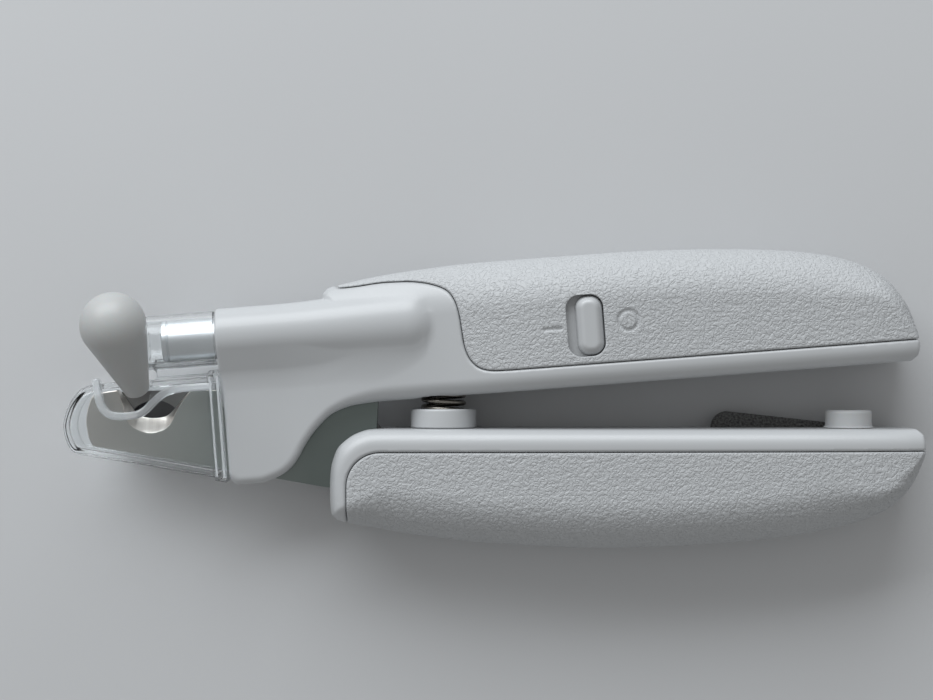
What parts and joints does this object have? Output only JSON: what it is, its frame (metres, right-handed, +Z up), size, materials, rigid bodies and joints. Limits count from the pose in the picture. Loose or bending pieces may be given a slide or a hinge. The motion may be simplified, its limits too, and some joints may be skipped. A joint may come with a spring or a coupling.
{
  "type": "pet nail clipper",
  "caption": "Plier-type pet nail clipper with a light, clear blade cover, soft plug, nail file, return spring and textured handles.",
  "frame": {"origin": "centre of the bounding box's footprint, on the surface that the clipper lies on", "axes": "+X from the blades to the handle ends, +Y from the lever (lower handle) to the body (upper handle), +Z up, from the back of the clipper to its front"},
  "size_m": [0.16, 0.0556, 0.03],
  "materials": {
    "shell": "white satin ABS, smooth",
    "bumper": "white soft rubber",
    "grip": "white matt plastic with an embossed leather grain",
    "blade_steel": "satin stainless steel with a ground cutting bevel",
    "hardware_steel": "plain bright steel",
    "guard_steel": "blackened thin steel",
    "spring_steel": "dark oiled spring wire",
    "light_barrel": "bright plated tube",
    "light_clear": "clear polished lens and lamp",
    "board": "green circuit board",
    "switch_case": "black moulded switch case",
    "cell": "nickel-plated button cells and contacts",
    "abrasive": "dark grey abrasive grit on a steel strip",
    "clear_cover": "clear moulded cover, glossy",
    "plug": "pale grey-white soft silicone"
  },
  "bodies": {
    "body": {"body_front_shell": "shell", "body_back_shell": "shell", "body_front_grip": "grip", "body_back_grip": "grip", "battery_door": "shell", "battery_door_screw": "hardware_steel", "body_screw_1": "hardware_steel", "body_screw_2": "hardware_steel", "body_screw_3": "hardware_steel", "led_barrel": "light_barrel", "led_lens": "light_clear", "led": "light_clear", "circuit_board": "board", "slide_switch": "switch_case", "battery_cell_1": "cell", "battery_cell_2": "cell", "battery_cell_3": "cell", "battery_contact_front": "cell", "battery_contact_rear": "cell", "fixed_blade": "blade_steel", "body_blade_pin_1": "hardware_steel", "body_blade_pin_2": "hardware_steel", "nail_guard": "guard_steel", "pivot_rivet": "hardware_steel"},
    "lever": {"lever_front_shell": "shell", "lever_back_shell": "shell", "lever_front_grip": "grip", "lever_back_grip": "grip", "lever_screw_1": "hardware_steel", "lever_screw_2": "hardware_steel", "moving_blade": "blade_steel", "lever_blade_pin_1": "hardware_steel", "lever_blade_pin_2": "hardware_steel", "spring_seat": "shell", "stop_bumper": "bumper", "return_spring": "spring_steel"},
    "switch_button": {"switch_knob": "shell"},
    "file": {"nail_file": "abrasive"},
    "cover": {"blade_cover": "clear_cover"},
    "plug": {"nail_plug": "plug"}
  },
  "joints": [
    {"name": "lever_squeeze", "type": "hinge", "parent": "body", "child": "lever", "pos_m": [-0.025, -0.0124, 0.01], "axis": [0, 0, 1], "range_deg": [0, 5], "stiffness_Nm_per_rad": 1.5, "springref_deg": -8.59, "deforming": ["return_spring"]},
    {"name": "switch_slide", "type": "slide", "parent": "body", "child": "switch_button", "axis": [-0.9971, -0.0767, 0], "range_m": [0, 0.0017]},
    {"name": "file_slide", "type": "slide", "parent": "lever", "child": "file", "axis": [1, 0, 0], "range_m": [0, 0.028]},
    {"name": "cover_pull", "type": "slide", "parent": "body", "child": "cover", "axis": [-0.9971, -0.0767, 0], "range_m": [0, 0.032]},
    {"name": "plug_pull", "type": "slide", "parent": "cover", "child": "plug", "axis": [-0.1905, 0.7677, 0.6118], "range_m": [0, 0.022]}
  ]
}
